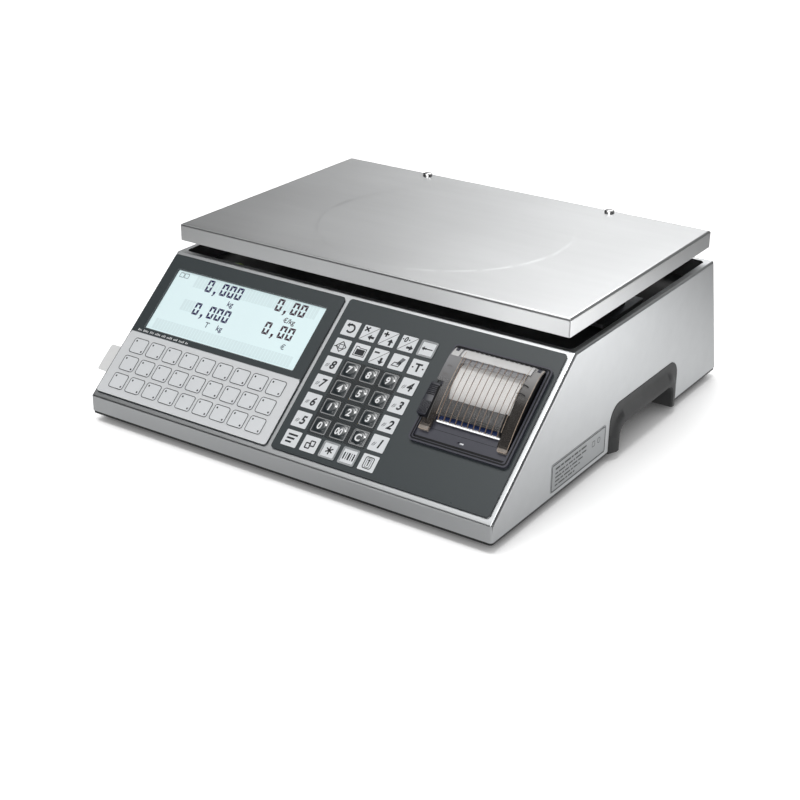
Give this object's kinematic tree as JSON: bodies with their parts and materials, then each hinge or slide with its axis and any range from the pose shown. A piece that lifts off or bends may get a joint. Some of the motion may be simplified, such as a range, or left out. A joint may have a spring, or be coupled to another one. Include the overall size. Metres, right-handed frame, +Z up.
{
  "type": "label printing scale",
  "caption": "Counter scale with a lift-off stainless platter, a sloped display and keypad panel, and a built-in label printer under a hinged smoked cover.",
  "frame": {"origin": "centre of the whole object's box, on the surface that its feet stand on", "axes": "+X to the operator's right along the front, +Y from the sloped front panel to the leaning back, +Z up through the platter"},
  "size_m": [0.3942, 0.382, 0.1427],
  "materials": {
    "stainless_body": "satin brushed",
    "stainless_platter": "satin brushed",
    "polished_steel": "polished",
    "black_plastic": "fine moulded grain",
    "well_black": "smooth matt",
    "zinc_steel": "zinc plated",
    "black_rubber": "matt",
    "cell_aluminium": "machined",
    "display_film": "fine textured film",
    "lcd_glass": "smooth",
    "circuit_board": "solder mask",
    "keypad_film": "fine textured film",
    "key_contacts": "smooth",
    "card_paper": "matt",
    "printer_plastic": "fine moulded grain",
    "smoked_cover": "smooth smoked clear plastic",
    "platen_rubber": "ground",
    "gear_plastic": "smooth",
    "pinion_brass": "machined",
    "label_paper": "smooth",
    "core_card": "matt",
    "blue_guide": "smooth",
    "supply_metal": "plain",
    "switch_red": "smooth",
    "rear_window": "smooth",
    "socket_metal": "plain",
    "vial_green": "smooth",
    "rating_foil": "satin",
    "number_key": "fine textured film"
  },
  "bodies": {
    "scale": {"housing": "stainless_body", "base_tray": "black_plastic", "side_grip_left": "black_plastic", "side_grip_right": "black_plastic", "well_cover": "well_black", "spider": "zinc_steel", "spider_pads": "black_rubber", "load_cell": "cell_aluminium", "cell_spacers": "cell_aluminium", "overload_stops": "zinc_steel", "display_panel": "display_film", "lcd_module": "lcd_glass", "display_board": "circuit_board", "keypad_panel": "keypad_film", "key_contacts": "key_contacts", "printer_frame": "printer_plastic", "tear_bar": "polished_steel", "print_head": "cell_aluminium", "motor": "zinc_steel", "gear_plate": "zinc_steel", "roll_spindle": "black_plastic", "label_strip": "label_paper", "exit_guide": "blue_guide", "main_board": "circuit_board", "power_supply": "supply_metal", "power_inlet": "black_plastic", "customer_display": "rear_window", "interface_sockets": "socket_metal", "foot_inserts": "zinc_steel", "level_vial": "vial_green", "screws": "zinc_steel", "rating_plate": "rating_foil"},
    "platter": {"platter": "stainless_platter", "platter_screws": "polished_steel"},
    "cover": {"printer_cover": "smoked_cover"},
    "latch": {"cover_latch": "printer_plastic"},
    "card": {"insert_card": "card_paper"},
    "label_reel": {"label_roll": "label_paper", "roll_core": "core_card"},
    "platen": {"platen_roller": "platen_rubber", "platen_gear": "gear_plastic"},
    "pinion": {"motor_pinion": "pinion_brass"},
    "rocker": {"power_switch": "switch_red"},
    "foot_front_left": {"foot_front_left": "black_rubber"},
    "foot_front_right": {"foot_front_right": "black_rubber"},
    "foot_rear_left": {"foot_rear_left": "black_rubber"},
    "foot_rear_right": {"foot_rear_right": "black_rubber"},
    "key_0": {"key_0": "number_key"},
    "key_1": {"key_1": "number_key"},
    "key_2": {"key_2": "number_key"},
    "key_3": {"key_3": "number_key"},
    "key_4": {"key_4": "number_key"},
    "key_5": {"key_5": "number_key"},
    "key_6": {"key_6": "number_key"},
    "key_7": {"key_7": "number_key"},
    "key_8": {"key_8": "number_key"},
    "key_9": {"key_9": "number_key"},
    "key_00": {"key_00": "number_key"},
    "key_clear": {"key_clear": "number_key"}
  },
  "joints": [
    {"name": "card_slide", "type": "slide", "parent": "scale", "child": "card", "axis": [-1, 0, 0], "range_m": [0, 0.165]},
    {"name": "cover_hinge", "type": "hinge", "parent": "scale", "child": "cover", "pos_m": [0.1429, -0.1024, 0.10398], "axis": [-1, 0, 0], "range_deg": [0, 105]},
    {"name": "cover_latch_slide", "type": "slide", "parent": "scale", "child": "latch", "axis": [0, 0.771, 0.6368], "range_m": [0, 0.0035], "stiffness_N_per_m": 300, "springref_m": -0.001},
    {"name": "label_reel_spin", "type": "hinge", "parent": "scale", "child": "label_reel", "pos_m": [0.1429, -0.10543, 0.07436], "axis": [1, 0, 0], "continuous": true},
    {"name": "platen_spin", "type": "hinge", "parent": "scale", "child": "platen", "pos_m": [0.1429, -0.13041, 0.05828], "axis": [1, 0, 0], "continuous": true},
    {"name": "pinion_spin", "type": "hinge", "parent": "scale", "child": "pinion", "pos_m": [0.0999, -0.12328, 0.04964], "axis": [1, 0, 0], "continuous": true},
    {"name": "platter_lift", "type": "slide", "parent": "scale", "child": "platter", "axis": [0, 0, 1], "range_m": [0, 0.06]},
    {"name": "power_rocker", "type": "hinge", "parent": "scale", "child": "rocker", "pos_m": [0.0824, 0.18237, 0.03159], "axis": [1, 0, 0], "range_deg": [0, 14]},
    {"name": "foot_front_left_screw", "type": "slide", "parent": "scale", "child": "foot_front_left", "axis": [0, 0, -1], "range_m": [-0.0008, 0.008]},
    {"name": "foot_front_right_screw", "type": "slide", "parent": "scale", "child": "foot_front_right", "axis": [0, 0, -1], "range_m": [-0.0008, 0.008]},
    {"name": "foot_rear_left_screw", "type": "slide", "parent": "scale", "child": "foot_rear_left", "axis": [0, 0, -1], "range_m": [-0.0008, 0.008]},
    {"name": "foot_rear_right_screw", "type": "slide", "parent": "scale", "child": "foot_rear_right", "axis": [0, 0, -1], "range_m": [-0.0008, 0.008]},
    {"name": "press_key_0", "type": "slide", "parent": "scale", "child": "key_0", "axis": [0, 0.6368, -0.771], "range_m": [0, 0.0006], "stiffness_N_per_m": 400, "springref_m": -0.0005},
    {"name": "press_key_1", "type": "slide", "parent": "scale", "child": "key_1", "axis": [0, 0.6368, -0.771], "range_m": [0, 0.0006], "stiffness_N_per_m": 400, "springref_m": -0.0005},
    {"name": "press_key_2", "type": "slide", "parent": "scale", "child": "key_2", "axis": [0, 0.6368, -0.771], "range_m": [0, 0.0006], "stiffness_N_per_m": 400, "springref_m": -0.0005},
    {"name": "press_key_3", "type": "slide", "parent": "scale", "child": "key_3", "axis": [0, 0.6368, -0.771], "range_m": [0, 0.0006], "stiffness_N_per_m": 400, "springref_m": -0.0005},
    {"name": "press_key_4", "type": "slide", "parent": "scale", "child": "key_4", "axis": [0, 0.6368, -0.771], "range_m": [0, 0.0006], "stiffness_N_per_m": 400, "springref_m": -0.0005},
    {"name": "press_key_5", "type": "slide", "parent": "scale", "child": "key_5", "axis": [0, 0.6368, -0.771], "range_m": [0, 0.0006], "stiffness_N_per_m": 400, "springref_m": -0.0005},
    {"name": "press_key_6", "type": "slide", "parent": "scale", "child": "key_6", "axis": [0, 0.6368, -0.771], "range_m": [0, 0.0006], "stiffness_N_per_m": 400, "springref_m": -0.0005},
    {"name": "press_key_7", "type": "slide", "parent": "scale", "child": "key_7", "axis": [0, 0.6368, -0.771], "range_m": [0, 0.0006], "stiffness_N_per_m": 400, "springref_m": -0.0005},
    {"name": "press_key_8", "type": "slide", "parent": "scale", "child": "key_8", "axis": [0, 0.6368, -0.771], "range_m": [0, 0.0006], "stiffness_N_per_m": 400, "springref_m": -0.0005},
    {"name": "press_key_9", "type": "slide", "parent": "scale", "child": "key_9", "axis": [0, 0.6368, -0.771], "range_m": [0, 0.0006], "stiffness_N_per_m": 400, "springref_m": -0.0005},
    {"name": "press_key_00", "type": "slide", "parent": "scale", "child": "key_00", "axis": [0, 0.6368, -0.771], "range_m": [0, 0.0006], "stiffness_N_per_m": 400, "springref_m": -0.0005},
    {"name": "press_key_clear", "type": "slide", "parent": "scale", "child": "key_clear", "axis": [0, 0.6368, -0.771], "range_m": [0, 0.0006], "stiffness_N_per_m": 400, "springref_m": -0.0005}
  ],
  "couplings": [
    {"joint": "platen_spin", "follows": "label_reel_spin", "ratio": 4.4231},
    {"joint": "pinion_spin", "follows": "label_reel_spin", "ratio": -7.9615}
  ]
}
